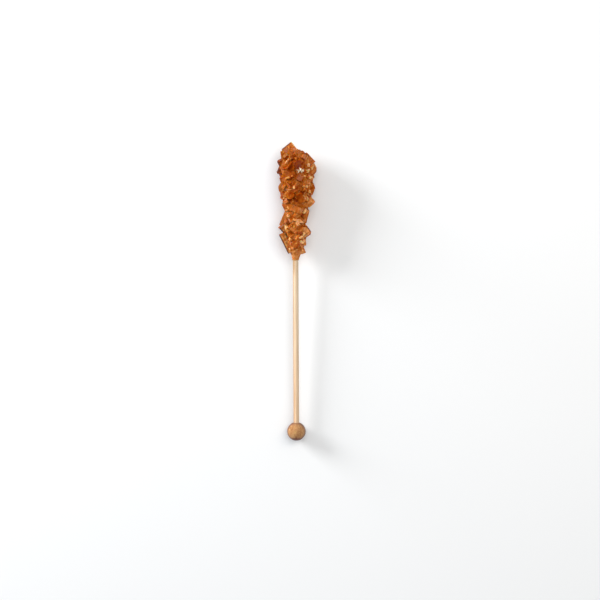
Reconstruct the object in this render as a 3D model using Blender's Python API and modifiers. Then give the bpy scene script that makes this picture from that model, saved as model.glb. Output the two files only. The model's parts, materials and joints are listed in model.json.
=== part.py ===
"""Rock candy stick: brown sugar crystals grown round one end of a dowel, with a turned bead on the other.

The stick lies on a table, with +Z up. The candy points to +Y, and the bead to -Y. The origin is at
the middle of the object's outline on the table. Metres throughout.

Everything is modelled along the dowel: in that frame the bead's centre is the origin, +Y runs up the
dowel to the candy, and +Z is the side that shows. The empty "lying_stick" then tips that frame, so
that the bead and the underside of the candy both touch the table.
"""

import math
import random
from collections import namedtuple

import bmesh
import bpy
from mathutils import Euler, Matrix, Vector

MM = 0.001

# Driving dimensions
LENGTH = 160 * MM  # outer side of the bead to the tip of the candy
BEAD_DIAMETER = 10 * MM
DOWEL_DIAMETER = 3 * MM
CANDY_LENGTH = 63.2 * MM
CANDY_REST = 17 * MM  # how far below the tip the candy rests on the table
CANDY_UNDERSIDE = 9.0 * MM  # from the dowel's axis down to the table, at that place

FIT_GAP = 0.25 * MM  # round the dowel in its two holes
BEAD_HOLE_DEPTH = 6.5 * MM
BEAD_SPOT_DEPTH = 0.1 * MM  # worn off the bead where it rests
DOWEL_COVER = 11 * MM  # candy above the dowel's hidden end
DOWEL_CHAMFER = 0.35 * MM
DOWEL_SIDES = 40
BEAD_SEGMENTS = 32
BEAD_RINGS = 18

SUGAR_SEED = 26
CRYSTAL_TILT = math.radians(103) - math.pi / 2  # sugar crystals lean 13 degrees off square

BEAD_RADIUS = BEAD_DIAMETER / 2
DOWEL_RADIUS = DOWEL_DIAMETER / 2
TIP = LENGTH - BEAD_RADIUS  # from the bead's centre along the dowel
BEAD_HEIGHT = BEAD_RADIUS - BEAD_SPOT_DEPTH
SLOPE = math.asin((CANDY_UNDERSIDE - BEAD_HEIGHT) / (TIP - CANDY_REST))

# Reach of the crystals from the dowel's axis: distance below the tip, then left, right, up and down
Station = namedtuple("Station", "below left right up down")
REACH = [
    Station(0.0, 1.5, 0.5, 1.5, 1.5),
    Station(3.5, 5.0, 2.6, 4.6, 4.6),
    Station(7.5, 7.6, 7.6, 7.6, 7.4),
    Station(11.0, 8.6, 9.6, 8.8, 8.5),
    Station(16.0, 8.9, 11.2, 9.2, 8.8),
    Station(21.0, 8.6, 10.2, 9.0, 8.8),
    Station(27.0, 8.3, 9.4, 8.6, 8.4),
    Station(32.0, 8.0, 8.6, 8.0, 8.0),
    Station(37.0, 5.9, 7.6, 7.4, 7.4),
    Station(42.5, 7.6, 6.4, 7.0, 7.0),
    Station(48.0, 7.8, 7.6, 7.2, 7.0),
    Station(53.0, 6.6, 6.0, 6.4, 6.2),
    Station(58.0, 4.2, 5.0, 4.6, 4.4),
    Station(61.0, 2.7, 3.2, 2.9, 2.8),
    Station(63.2, 1.9, 2.2, 2.0, 2.0),
]
SQUARENESS = 2.3  # of the candy's cross-section, where 2 is an ellipse

# The crystals that give the candy its outline. Places and sizes are in millimetres: distance below the
# tip, then out to the right and up from the dowel's axis. A size is width, length and thickness, turns
# are in degrees about X, Y and Z, and blunt is how much the facets take off, from 0 to about 1.
Crystal = namedtuple("Crystal", "below right up size turn blunt")
NAMED_CRYSTALS = {
    "tip": Crystal(4.3, -2.7, 0.8, (6.9, 5.4, 5.6), (7, -16, 38), 0.0),
    "left_temple": Crystal(7.0, -5.4, 0.2, (4.6, 5.0, 5.0), (8, -12, 6), 0.3),
    "right_shoulder": Crystal(7.7, 3.2, 0.6, (6.0, 5.6, 6.0), (-8, -10, -36), 0.1),
    "right_corner": Crystal(10.9, 6.9, 0.8, (6.4, 4.8, 5.6), (8, -14, -48), 0.1),
    "right_bulge": Crystal(16.0, 8.4, 0.2, (5.4, 8.0, 5.4), (8, -10, -14), 0.9),
    "left_shoulder": Crystal(10.8, -6.4, 1.2, (4.4, 4.6, 5.0), (12, -16, 34), 0.2),
    "left_cheek": Crystal(15.0, -6.8, -0.2, (4.6, 4.4, 4.6), (-8, -12, 38), 0.2),
    "left_rib": Crystal(19.6, -6.4, 0.4, (4.2, 4.4, 4.6), (8, -14, -24), 0.3),
    "left_belly": Crystal(25.0, -6.5, 0.6, (5.0, 6.0, 5.0), (8, -10, 8), 0.9),
    "right_belly": Crystal(25.8, 8.0, -0.4, (4.0, 4.2, 4.6), (8, -10, 40), 0.4),
    "right_knob": Crystal(32.2, 7.5, 1.2, (4.6, 4.2, 4.2), (6, -12, 18), 0.4),
    "right_spur": Crystal(37.0, 5.2, 1.4, (3.8, 3.6, 4.0), (10, -8, 42), 0.1),
    "left_notch": Crystal(34.8, -5.0, 0.8, (3.8, 4.2, 4.4), (-14, -10, 40), 0.2),
    "left_flank": Crystal(41.0, -5.4, 1.0, (3.6, 7.6, 4.8), (10, -12, -25), 0.1),
    "left_elbow": Crystal(45.6, -6.0, 1.8, (4.2, 4.2, 4.6), (8, -12, 43), 0.1),
    "right_block": Crystal(47.8, 4.5, 2.2, (6.2, 6.0, 5.4), (8, -12, 32), 0.7),
    "right_step": Crystal(52.6, 3.7, 0.4, (3.6, 5.0, 4.2), (10, -10, 4), 0.4),
    "left_plate": Crystal(53.6, -4.6, 0.8, (3.2, 11.0, 4.0), (4, -12, 25), 0.0),
    "right_chip": Crystal(57.8, 3.8, 0.8, (2.8, 3.0, 3.0), (14, -10, 30), 0.3),
    "top_block": Crystal(14.0, -2.4, 6.4, (5.2, 5.0, 5.0), (24, 8, 52), 0.4),
    "middle_block": Crystal(30.0, 2.0, 5.4, (5.4, 5.2, 5.0), (10, -18, 20), 0.4),
    "left_foot": Crystal(13.0, -4.2, -6.2, (5.2, 5.6, 5.4), (14, 8, 20), 0.5),
    "right_foot": Crystal(20.0, 4.6, -6.2, (5.6, 5.2, 5.2), (-12, 10, -28), 0.5),
}
CRYSTAL_SPACING = 3.9 * MM  # between the smaller crystals, along and around
CRYSTAL_SIZES = (2.8 * MM, 5.2 * MM)
CRYSTAL_WAIST = 0.5  # the least that a small crystal's width is of its length
REACH_SPREAD = (0.90, 1.02)  # of the small crystals' corners, as a share of the reach
CORE_DEPTH = 2.0 * MM  # the grown-together middle stays this far inside the reach
CORE_DRIP = 9 * MM  # and comes out to it over this last stretch, where sugar ran down the dowel
CORE_START = 3 * MM
CORE_SIDES = 14
CORE_RINGS = 19


def reach_at(below, angle):
    """How far the crystals reach from the dowel's axis, at an angle that turns from right to up."""
    below = min(max(below / MM, REACH[0].below), REACH[-1].below)
    high = next(i for i in range(1, len(REACH)) if below <= REACH[i].below)
    a, b = REACH[high - 1], REACH[high]
    share = (below - a.below) / (b.below - a.below)
    left, right, up, down = (a[i] + (b[i] - a[i]) * share for i in range(1, 5))
    across = right if math.cos(angle) > 0 else left
    over = up if math.sin(angle) > 0 else down
    shares = (abs(math.cos(angle) / across), abs(math.sin(angle) / over))
    return MM / sum(share**SQUARENESS for share in shares) ** (1 / SQUARENESS)


def finish(name, colour, roughness, transmission=0.0):
    material = bpy.data.materials.new(name)
    material.use_nodes = True
    shader = material.node_tree.nodes["Principled BSDF"]
    shader.inputs["Base Color"].default_value = (*colour, 1.0)
    shader.inputs["Roughness"].default_value = roughness
    shader.inputs["Metallic"].default_value = 0.0
    shader.inputs["Transmission Weight"].default_value = transmission
    return material


def object_from(bm, name, collection, material=None):
    """Puts a bmesh in a new object, with its faces pointing outwards."""
    bmesh.ops.recalc_face_normals(bm, faces=bm.faces)
    mesh = bpy.data.meshes.new(name)
    bm.to_mesh(mesh)
    bm.free()
    made = bpy.data.objects.new(name, mesh)
    collection.objects.link(made)
    if material:
        mesh.materials.append(material)
    return made


def hidden(helper):
    helper.hide_render = True
    helper.display_type = "WIRE"
    return helper


def boolean(target, operation, other):
    modifier = target.modifiers.new(operation.title(), "BOOLEAN")
    modifier.operation = operation
    modifier.solver = "EXACT"
    if isinstance(other, bpy.types.Collection):
        modifier.operand_type = "COLLECTION"
        modifier.collection = other
    else:
        modifier.object = other


def cut_away(bm, point, normal):
    """Slices off what lies beyond a plane, and closes the cut with a flat face."""
    geometry = bm.verts[:] + bm.edges[:] + bm.faces[:]
    bmesh.ops.bisect_plane(
        bm, geom=geometry, dist=1e-7, plane_co=point, plane_no=normal, clear_outer=True
    )
    open_edges = [edge for edge in bm.edges if edge.is_boundary]
    if open_edges:
        bmesh.ops.edgeloop_fill(bm, edges=open_edges)


def sugar_crystal(size, turn, blunt, draw):
    """A leaning block, with facets along two of its edges and a ridge across one end, as sugar grows."""
    bm = bmesh.new()
    bmesh.ops.create_cube(bm, size=1.0)
    lean = Matrix.Identity(4)
    lean[0][2] = math.tan(CRYSTAL_TILT)
    bmesh.ops.transform(bm, matrix=lean, verts=bm.verts)
    sharp = 0.5 + 0.25 * math.tan(CRYSTAL_TILT)  # a facet this far out only touches the leaning edge
    for side in (-1, 1):
        for normal in (Vector((side, 0, side)), Vector((side, 1, 0))):
            depth = sharp - 0.2 * blunt * draw.uniform(0.6, 1.4)
            cut_away(bm, normal * depth, normal)
    bmesh.ops.scale(bm, vec=Vector(size), verts=bm.verts)
    bmesh.ops.rotate(bm, matrix=Euler(turn).to_matrix(), verts=bm.verts)
    return bm


def place_named_crystals(cluster, draw):
    for name, crystal in NAMED_CRYSTALS.items():
        size = [side * MM for side in crystal.size]
        turn = [math.radians(angle) for angle in crystal.turn]
        bm = sugar_crystal(size, turn, crystal.blunt, draw)
        place = Vector((crystal.right, TIP / MM - crystal.below, crystal.up)) * MM
        bmesh.ops.translate(bm, vec=place, verts=bm.verts)
        hidden(object_from(bm, "crystal_" + name, cluster))


def place_small_crystals(cluster, draw):
    """Rings of crystals down the candy, each pushed out until its corner meets the reach."""
    below = 1.5 * CRYSTAL_SPACING
    ring = 0
    while below < CANDY_LENGTH - 0.5 * CRYSTAL_SPACING:
        around = 2 * math.pi * reach_at(below, math.radians(45))
        count = max(5, round(around / CRYSTAL_SPACING))
        for step in range(count):
            angle = 2 * math.pi * (step + 0.5 * (ring % 2) + draw.uniform(-0.2, 0.2)) / count
            along = below + draw.uniform(-0.3, 0.3) * CRYSTAL_SPACING
            reach = reach_at(along, angle) * draw.uniform(*REACH_SPREAD)
            largest = min(draw.uniform(*CRYSTAL_SIZES), reach)
            size = [largest * draw.uniform(CRYSTAL_WAIST, 1.0) for _ in range(3)]
            turn = [draw.uniform(0, 2 * math.pi) for _ in range(3)]
            bm = sugar_crystal(size, turn, draw.uniform(0.1, 1.1), draw)
            outward = Vector((math.cos(angle), 0, math.sin(angle)))
            corner = max(vertex.co.dot(outward) for vertex in bm.verts)
            place = outward * (reach - corner) + Vector((0, TIP - along, 0))
            bmesh.ops.translate(bm, vec=place, verts=bm.verts)
            hidden(object_from(bm, f"crystal_{ring:02d}_{step:02d}", cluster))
        below += CRYSTAL_SPACING
        ring += 1


def candy_core(collection, material):
    """The middle of the candy, where the crystals have grown into each other: rings joined end to end."""
    bm = bmesh.new()
    loops = []
    for ring in range(CORE_RINGS):
        below = CORE_START + (CANDY_LENGTH - CORE_START) * ring / (CORE_RINGS - 1)
        depth = CORE_DEPTH * min(1.0, (CANDY_LENGTH - below) / CORE_DRIP)
        loop = []
        for side in range(CORE_SIDES):
            angle = 2 * math.pi * side / CORE_SIDES
            radius = max(reach_at(below, angle) - depth, 0.3 * MM)
            place = Vector((radius * math.cos(angle), TIP - below, radius * math.sin(angle)))
            loop.append(bm.verts.new(place))
        loops.append([bm.edges.new((loop[i - 1], loop[i])) for i in range(CORE_SIDES)])
    for first, second in zip(loops, loops[1:]):
        bmesh.ops.bridge_loops(bm, edges=first + second)
    for end in (loops[0], loops[-1]):
        bmesh.ops.edgeloop_fill(bm, edges=end)
    return object_from(bm, "candy", collection, material)


def rod(name, collection, start, end, radius):
    """A round rod along the dowel's axis."""
    bm = bmesh.new()
    bmesh.ops.create_cone(
        bm, cap_ends=True, segments=DOWEL_SIDES, radius1=radius, radius2=radius, depth=end - start
    )
    bmesh.ops.rotate(bm, matrix=Matrix.Rotation(math.radians(90), 3, "X"), verts=bm.verts)
    bmesh.ops.translate(bm, vec=Vector((0, (start + end) / 2, 0)), verts=bm.verts)
    return object_from(bm, name, collection)


def table_in_stick_frame():
    """A point on the table and the way down, in the frame of the dowel."""
    down = Vector((0, -math.sin(SLOPE), -math.cos(SLOPE)))
    return down * BEAD_HEIGHT, down


def table_block(cutters):
    """The space below the table, which takes the corners off the crystals that rest on it."""
    point, down = table_in_stick_frame()
    depth = 8 * MM
    bm = bmesh.new()
    bmesh.ops.create_cube(bm, size=1.0)
    bmesh.ops.scale(bm, vec=Vector((60 * MM, 2 * LENGTH, depth)), verts=bm.verts)
    bmesh.ops.rotate(bm, matrix=Matrix.Rotation(-SLOPE, 3, "X"), verts=bm.verts)
    bmesh.ops.translate(bm, vec=point + down * (depth / 2), verts=bm.verts)
    return object_from(bm, "table_block", cutters)


def make_candy(collection, cutters, cluster, material):
    """Crystals grown together round the dowel, drilled for it and flat where they rest on the table."""
    draw = random.Random(SUGAR_SEED)
    candy = candy_core(collection, material)
    place_named_crystals(cluster, draw)
    place_small_crystals(cluster, draw)
    boolean(candy, "UNION", cluster)
    hole_end = TIP - DOWEL_COVER + FIT_GAP
    hole = rod("candy_hole", cutters, TIP / 2, hole_end, DOWEL_RADIUS + FIT_GAP)
    boolean(candy, "DIFFERENCE", hidden(hole))
    boolean(candy, "DIFFERENCE", hidden(table_block(cutters)))
    return candy


def make_dowel(collection, material):
    """The dowel, from the bottom of the bead's hole to its end inside the candy."""
    start = BEAD_RADIUS - BEAD_HOLE_DEPTH + FIT_GAP
    dowel = rod("stick", collection, start, TIP - DOWEL_COVER, DOWEL_RADIUS)
    dowel.data.materials.append(material)
    bevel = dowel.modifiers.new("Chamfer", "BEVEL")
    bevel.width = DOWEL_CHAMFER
    bevel.segments = 1
    bevel.limit_method = "ANGLE"
    dowel.data.shade_smooth()
    dowel.data.set_sharp_from_angle(angle=math.radians(30))
    return dowel


def make_bead(collection, cutters, material):
    """The turned ball, drilled part way for the dowel, with the small flat that it rests on."""
    bm = bmesh.new()
    bmesh.ops.create_uvsphere(
        bm, u_segments=BEAD_SEGMENTS, v_segments=BEAD_RINGS, radius=BEAD_RADIUS
    )
    bmesh.ops.rotate(bm, matrix=Matrix.Rotation(math.radians(90), 3, "X"), verts=bm.verts)
    cut_away(bm, *table_in_stick_frame())
    bead = object_from(bm, "ball", collection, material)
    hole_start = BEAD_RADIUS - BEAD_HOLE_DEPTH
    hole = rod("bead_hole", cutters, hole_start, 2 * BEAD_RADIUS, DOWEL_RADIUS + FIT_GAP)
    boolean(bead, "DIFFERENCE", hidden(hole))
    bead.data.shade_smooth()
    bead.data.set_sharp_from_angle(angle=math.radians(30))
    return bead


def outline_middle(objects):
    """Half way between the object's lowest and highest X and Y, in world space."""
    bpy.context.view_layer.update()
    graph = bpy.context.evaluated_depsgraph_get()
    points = []
    for made in objects:
        evaluated = made.evaluated_get(graph)
        points += [evaluated.matrix_world @ vertex.co for vertex in evaluated.data.vertices]
    return [(min(p[axis] for p in points) + max(p[axis] for p in points)) / 2 for axis in range(2)]


def main():
    for old in list(bpy.data.objects):
        bpy.data.objects.remove(old, do_unlink=True)
    scene = bpy.context.scene.collection
    parts = bpy.data.collections.new("rock_candy_stick")
    cutters = bpy.data.collections.new("cutters")
    cluster = bpy.data.collections.new("crystals")
    for collection in (parts, cutters, cluster):
        scene.children.link(collection)

    sugar = finish("brown_sugar", (0.42, 0.13, 0.03), roughness=0.15, transmission=0.3)
    birch = finish("birch", (0.80, 0.62, 0.42), roughness=0.6)
    beech = finish("beech", (0.51, 0.29, 0.14), roughness=0.55)
    candy = make_candy(parts, cutters, cluster, sugar)
    dowel = make_dowel(parts, birch)
    bead = make_bead(parts, cutters, beech)

    lying = bpy.data.objects.new("lying_stick", None)
    parts.objects.link(lying)
    for piece in (candy, dowel, bead, *cutters.objects, *cluster.objects):
        piece.parent = lying
    lying.rotation_euler.x = SLOPE
    middle = outline_middle([candy, dowel, bead])
    lying.location = (-middle[0], -middle[1], BEAD_HEIGHT)


main()
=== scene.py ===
"""A rock candy stick, lying on a pale table: brown sugar crystals on a dowel that ends in a turned ball."""

import json
import math
import random
from collections import namedtuple

import bmesh
import bpy
from mathutils import Euler, Matrix, Vector, noise

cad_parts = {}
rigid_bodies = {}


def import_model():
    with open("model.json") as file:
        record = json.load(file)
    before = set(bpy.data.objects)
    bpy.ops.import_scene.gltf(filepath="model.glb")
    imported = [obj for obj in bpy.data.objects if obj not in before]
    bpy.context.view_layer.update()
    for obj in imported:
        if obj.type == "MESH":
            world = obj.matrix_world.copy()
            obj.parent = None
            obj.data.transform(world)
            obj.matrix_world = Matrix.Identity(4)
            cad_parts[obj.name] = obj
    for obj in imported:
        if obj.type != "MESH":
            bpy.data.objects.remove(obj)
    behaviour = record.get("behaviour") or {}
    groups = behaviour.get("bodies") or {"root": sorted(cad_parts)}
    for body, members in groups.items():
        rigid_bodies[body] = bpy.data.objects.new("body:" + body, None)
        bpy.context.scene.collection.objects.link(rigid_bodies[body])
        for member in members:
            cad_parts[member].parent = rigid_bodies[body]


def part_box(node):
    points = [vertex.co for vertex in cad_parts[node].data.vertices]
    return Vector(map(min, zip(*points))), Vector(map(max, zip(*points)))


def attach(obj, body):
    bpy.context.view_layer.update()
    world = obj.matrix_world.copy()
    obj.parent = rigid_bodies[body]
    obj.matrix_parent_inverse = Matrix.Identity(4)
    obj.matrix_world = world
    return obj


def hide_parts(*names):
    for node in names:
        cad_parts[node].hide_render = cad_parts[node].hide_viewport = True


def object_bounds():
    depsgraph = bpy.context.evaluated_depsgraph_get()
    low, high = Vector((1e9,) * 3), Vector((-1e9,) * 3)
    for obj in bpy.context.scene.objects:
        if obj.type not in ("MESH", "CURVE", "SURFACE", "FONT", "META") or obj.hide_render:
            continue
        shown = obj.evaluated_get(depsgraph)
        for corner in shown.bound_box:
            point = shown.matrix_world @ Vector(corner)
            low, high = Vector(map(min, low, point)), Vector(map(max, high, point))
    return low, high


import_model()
cad_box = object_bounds()


# ---------------------------------------------------------------------------------------------------
# The table and the light
# The stick lies on a plain white table, in soft light from above. A large soft light stands low at its
# left, so that a wide faint shadow falls to the right. The camera looks straight down.

MM = 0.001  # a millimetre, in metres
TABLE_HALF = 1.5  # in metres, from its middle to each edge
ROOM_STRENGTH = 0.47


class Wire:
    """A socket in a material's nodes. Sums and products of wires add the Math nodes for them."""

    def __init__(self, tree, socket=None):
        self.tree = tree
        self.socket = socket

    def node(self, kind, settings, sockets, output=0):
        """Adds a node. Its settings are made first, and then its sockets' values or links."""
        made = self.tree.nodes.new("ShaderNode" + kind)
        for name, value in settings.items():
            if name == "stops":
                for stop, (place, colour) in zip_stops(made.color_ramp, value):
                    stop.position = place
                    stop.color = (*colour, 1.0)
            else:
                setattr(made, name, value)
        for name, value in sockets.items():
            if isinstance(value, Wire):
                self.tree.links.new(value.socket, made.inputs[name])
            else:
                made.inputs[name].default_value = value
        return Wire(self.tree, made.outputs[output])

    def maths(self, operation, *values):
        return self.node("Math", {"operation": operation}, dict(enumerate(values)))

    def vector(self, operation, *values, output="Vector"):
        return self.node("VectorMath", {"operation": operation}, dict(enumerate(values)), output)

    def mix(self, share, first, second, kind="MIX"):
        """Blends two colours, by MIX, MULTIPLY or another of the Mix node's ways."""
        settings = {"data_type": "RGBA", "blend_type": kind}
        return self.node("Mix", settings, {0: share, 6: first, 7: second}, 2)

    def ramp(self, *stops):
        return self.node("ValToRGB", {"stops": stops}, {0: self})

    def between(self, start, end, low=0.0, high=1.0):
        """Runs smoothly from low to high as this value goes from start to end."""
        sockets = {"Value": self, "From Min": start, "From Max": end, "To Min": low, "To Max": high}
        return self.node("MapRange", {"interpolation_type": "SMOOTHSTEP"}, sockets)

    def part(self, name):
        return self.node("SeparateXYZ", {}, {0: self}, name)

    def __add__(self, other):
        return self.maths("ADD", self, other)

    def __mul__(self, other):
        return self.maths("MULTIPLY", self, other)

    def __sub__(self, other):
        return self.maths("SUBTRACT", self, other)

    def __rsub__(self, other):
        return self.maths("SUBTRACT", other, self)

    __radd__ = __add__
    __rmul__ = __mul__


def zip_stops(ramp, stops):
    """Pairs a ramp's stops with the wanted ones, adding the stops that it lacks."""
    while len(ramp.elements) < len(stops):
        ramp.elements.new(1.0)
    return zip(ramp.elements, stops)


def new_material(name, **shader_values):
    """A Principled material, with its shader's own sockets set, and a wire to build its nodes from."""
    material = bpy.data.materials.new(name)
    material.use_nodes = True
    shader = material.node_tree.nodes["Principled BSDF"]
    for socket, value in shader_values.items():
        shader.inputs[socket.replace("_", " ")].default_value = value
    return material, Wire(material.node_tree), shader


def join(wire, shader, socket):
    """Links a wire to one of a shader's sockets."""
    wire.tree.links.new(wire.socket, shader.inputs[socket])


def new_piece(name, bm, material):
    """Makes an object of a finished shape, with its material."""
    mesh = bpy.data.meshes.new(name)
    bm.to_mesh(mesh)
    bm.free()
    mesh.materials.append(material)
    piece = bpy.data.objects.new(name, mesh)
    bpy.context.scene.collection.objects.link(piece)
    return piece


table_material, _, _ = new_material(
    "table_white", Base_Color=(0.822, 0.838, 0.855, 1.0), Roughness=0.8, Specular_IOR_Level=0.1
)
bm = bmesh.new()
bmesh.ops.create_grid(bm, x_segments=1, y_segments=1, size=TABLE_HALF)
table = new_piece("table", bm, table_material)

# The room's walls are white, and greyer towards the ceiling and the floor.
world = bpy.data.worlds.new("white_room")
world.use_nodes = True
room = Wire(world.node_tree)
height = room.node("TexCoord", {}, {}, "Generated").part("Z")
walls = height.ramp(
    (0.0, (0.2, 0.2, 0.2)), (0.30, (0.5, 0.5, 0.5)), (0.5, (1.0, 1.0, 1.0)), (0.82, (1.0, 1.0, 1.0)),
    (0.94, (0.3, 0.3, 0.3)),
)
background = world.node_tree.nodes["Background"]
join(walls, background, "Color")
background.inputs["Strength"].default_value = ROOM_STRENGTH
world.cycles_visibility.glossy = False
bpy.context.scene.world = world


def soft_light(name, size, power, place, colour=(1.0, 1.0, 1.0), shows_in_gloss=True):
    """A square light that faces the middle of the stick."""
    light = bpy.data.lights.new(name, "AREA")
    light.shape = "SQUARE"
    light.size = size
    light.energy = power
    light.color = colour
    lamp = bpy.data.objects.new(name, light)
    lamp.location = place
    lamp.rotation_euler = Vector(place).to_track_quat("Z", "Y").to_euler()
    lamp.visible_glossy = shows_in_gloss
    bpy.context.scene.collection.objects.link(lamp)


soft_light(
    "ceiling", size=0.9, power=7.9, place=(0.14, 0.26, 1.15), colour=(0.97, 0.99, 1.0),
    shows_in_gloss=False,
)
soft_light("window", size=0.45, power=15.2, place=(-0.88, 0.46, 0.27), shows_in_gloss=False)
soft_light("spark", size=0.30, power=0.9, place=(0.42, 0.30, 0.60), colour=(1.0, 0.80, 0.58))

CAMERA_HEIGHT = 891 * MM  # above the middle of the stick
FRAMING = (1.4 * MM, -4.46 * MM)  # from the middle of the stick to the middle of the view
CAMERA_TURN = math.radians(-0.25)
lens = bpy.data.cameras.new("camera")
lens.lens = 100
lens.sensor_width = 36
camera = bpy.data.objects.new("camera", lens)
camera.location = (*FRAMING, CAMERA_HEIGHT + cad_box[1].z / 2)
camera.rotation_euler.z = CAMERA_TURN
bpy.context.scene.collection.objects.link(camera)
bpy.context.scene.camera = camera
bpy.context.scene.view_settings.view_transform = "Standard"


# ---------------------------------------------------------------------------------------------------
# The dowel
# A 3 mm birch dowel, drawn through a plate, so its sides carry faint lengthwise grooves. It is glued into
# the ball at one end and hidden in the candy at the other. Syrup has stained it just below the candy.

BALL_RADIUS = 5 * MM
BALL_SPOT_DEPTH = 0.1 * MM  # of the worn flat that it rests on
BALL_HOLE_DEPTH = 6.5 * MM
TIP = 155 * MM  # from the ball's middle along the dowel to the end of the candy
CANDY_LENGTH = 63.2 * MM
CANDY_REST = 17 * MM  # below the tip, where the candy touches the table
CANDY_UNDERSIDE = 9 * MM  # from the dowel's axis down to the table, at that place

# Pieces are modelled along the dowel, from the ball's middle, with +Y to the tip and +Z to the side that
# shows. This places them as they lie, the ball and the underside of the candy on the table.
ball_low, ball_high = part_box("ball")
ball_height = BALL_RADIUS - BALL_SPOT_DEPTH
SLOPE = math.asin((CANDY_UNDERSIDE - ball_height) / (TIP - CANDY_REST))
ball_middle = Vector(((ball_low.x + ball_high.x) / 2, ball_low.y + BALL_RADIUS, ball_height))
AS_IT_LIES = Matrix.Translation(ball_middle) @ Matrix.Rotation(SLOPE, 4, "X")
TABLE_DOWN = Vector((0, -math.sin(SLOPE), -math.cos(SLOPE)))
TABLE_POINT = TABLE_DOWN * ball_height


def along_the_stick(wire):
    """Coordinates in millimetres from the ball's middle, along and across the dowel as it lies."""
    back = AS_IT_LIES.inverted()
    sockets = {
        "Vector": wire.node("TexCoord", {}, {}, "Object"),
        "Location": back.translation / MM,
        "Rotation": (-SLOPE, 0, 0),
        "Scale": (1 / MM, 1 / MM, 1 / MM),
    }
    return wire.node("Mapping", {}, sockets)


def grain(place, across, along, detail=3.0, rough=0.55):
    """Streaks that run with the dowel, of a width and length in millimetres."""
    stretched = place.vector("MULTIPLY", place, (1 / across, 1 / along, 1 / across))
    sockets = {"Vector": stretched, "Scale": 1.0, "Detail": detail, "Roughness": rough}
    return place.node("TexNoise", {}, sockets)


def raise_relief(wire, shader, height, strength, depth):
    """Tilts the shading as if the surface rose by a height, through a Bump node."""
    sockets = {"Strength": strength, "Distance": depth, "Height": height}
    join(wire.node("Bump", {}, sockets), shader, "Normal")


def ease(bm, edges, width, segments=1):
    """Bevels edges to a width, and gives the faces that this makes."""
    return bmesh.ops.bevel(
        bm, geom=edges, offset=width, offset_type="OFFSET", segments=segments, profile=0.5,
        affect="EDGES", clamp_overlap=True, material=-1,
    )["faces"]


DOWEL_RADIUS = 1.5 * MM
DOWEL_CLEARANCE = 0.25 * MM  # below its end in the ball
DOWEL_START = BALL_RADIUS - BALL_HOLE_DEPTH + DOWEL_CLEARANCE
DOWEL_COVER = 11 * MM  # of candy above the dowel's hidden end
DOWEL_END = TIP - DOWEL_COVER
DOWEL_SIDES = 96
DOWEL_RINGS = 72
DOWEL_RIM = 0.3 * MM  # how wide its ends' edges are eased
GROOVE_DEPTH = 0.022 * MM
FINE_GROOVES = 9  # how closely they stand round the dowel
FINE_GROOVE_LENGTH = 30 * MM
BROAD_GROOVES = 2
BROAD_GROOVE_LENGTH = 60 * MM
BROAD_DEPTH = 0.8  # as a share of the fine ones'
BROAD_SHIFT = 7  # so that they don't follow the fine ones

bm = bmesh.new()
bmesh.ops.create_cone(
    bm, cap_ends=True, segments=DOWEL_SIDES, radius1=DOWEL_RADIUS, radius2=DOWEL_RADIUS,
    depth=DOWEL_END - DOWEL_START,
)
rims = [edge for edge in bm.edges if len(edge.link_faces[0].verts) != len(edge.link_faces[1].verts)]
ease(bm, rims, DOWEL_RIM, segments=3)
sides = [edge for edge in bm.edges if edge.calc_length() > (DOWEL_END - DOWEL_START) / 2]
bmesh.ops.subdivide_edges(bm, edges=sides, cuts=DOWEL_RINGS, use_grid_fill=True)
bmesh.ops.rotate(bm, matrix=Matrix.Rotation(math.radians(-90), 3, "X"), verts=bm.verts)
bmesh.ops.translate(bm, vec=Vector((0, (DOWEL_START + DOWEL_END) / 2, 0)), verts=bm.verts)
for vertex in bm.verts:
    outward = Vector((vertex.co.x, 0, vertex.co.z))
    if outward.length > 0.9 * DOWEL_RADIUS:
        around = outward.normalized()
        along = vertex.co.y / FINE_GROOVE_LENGTH
        fine = noise.noise(Vector((around.x * FINE_GROOVES, along, around.z * FINE_GROOVES)))
        across = around.x * BROAD_GROOVES + BROAD_SHIFT
        along = vertex.co.y / BROAD_GROOVE_LENGTH
        broad = noise.noise(Vector((across, along, around.z * BROAD_GROOVES)))
        vertex.co -= around * GROOVE_DEPTH * (abs(fine) + BROAD_DEPTH * abs(broad))
for face in bm.faces:
    face.smooth = len(face.verts) == 4
bmesh.ops.transform(bm, matrix=AS_IT_LIES, verts=bm.verts)

birch, wire, shader = new_material("birch_dowel", Roughness=0.6, Specular_IOR_Level=0.3)
place = along_the_stick(wire)
streaks = grain(place, 0.35, 26.0)
fibres = grain(place, 0.09, 7.0, 4.0, 0.7)
bands = grain(place, 1.6, 45.0, 2.0)
pores = grain(place, 0.12, 1.6, 1.0)
wood = (streaks * 0.5 + fibres * 0.3 + bands * 0.2).ramp(
    (0.34, (0.54, 0.39, 0.245)), (0.48, (0.69, 0.545, 0.38)), (0.62, (0.76, 0.635, 0.47))
)
below_candy = place.part("Y")
peach = wire.mix(below_candy.between(80.0, 5.0, 0.25, 0.75), wood, (0.98, 0.84, 0.76, 1.0), "MULTIPLY")
# Painted shade: the dowel's left side is darkened, as it would be in shade.
shaded_left = place.part("X").between(-0.6, -1.35)
peach = wire.mix(shaded_left, peach, (0.70, 0.56, 0.46, 1.0), "MULTIPLY")
specks = pores.between(0.66, 0.74, 0.0, 0.30)
pored = wire.mix(specks, peach, (0.38, 0.24, 0.13, 1.0))
stain_reach = below_candy.between(81.0, 89.0) * place.part("X").between(0.0, -1.1, 0.12, 1.0)
stained = wire.mix(stain_reach * 0.9, pored, (0.40, 0.24, 0.12, 1.0))
join(stained, shader, "Base Color")
join(fibres.between(0.3, 0.7, 0.5, 0.72), shader, "Roughness")
raise_relief(wire, shader, streaks * 0.5 + fibres * 0.5, strength=0.35, depth=0.05 * MM)
dowel = new_piece("birch_dowel", bm, birch)
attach(dowel, "root")
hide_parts("stick")
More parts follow.
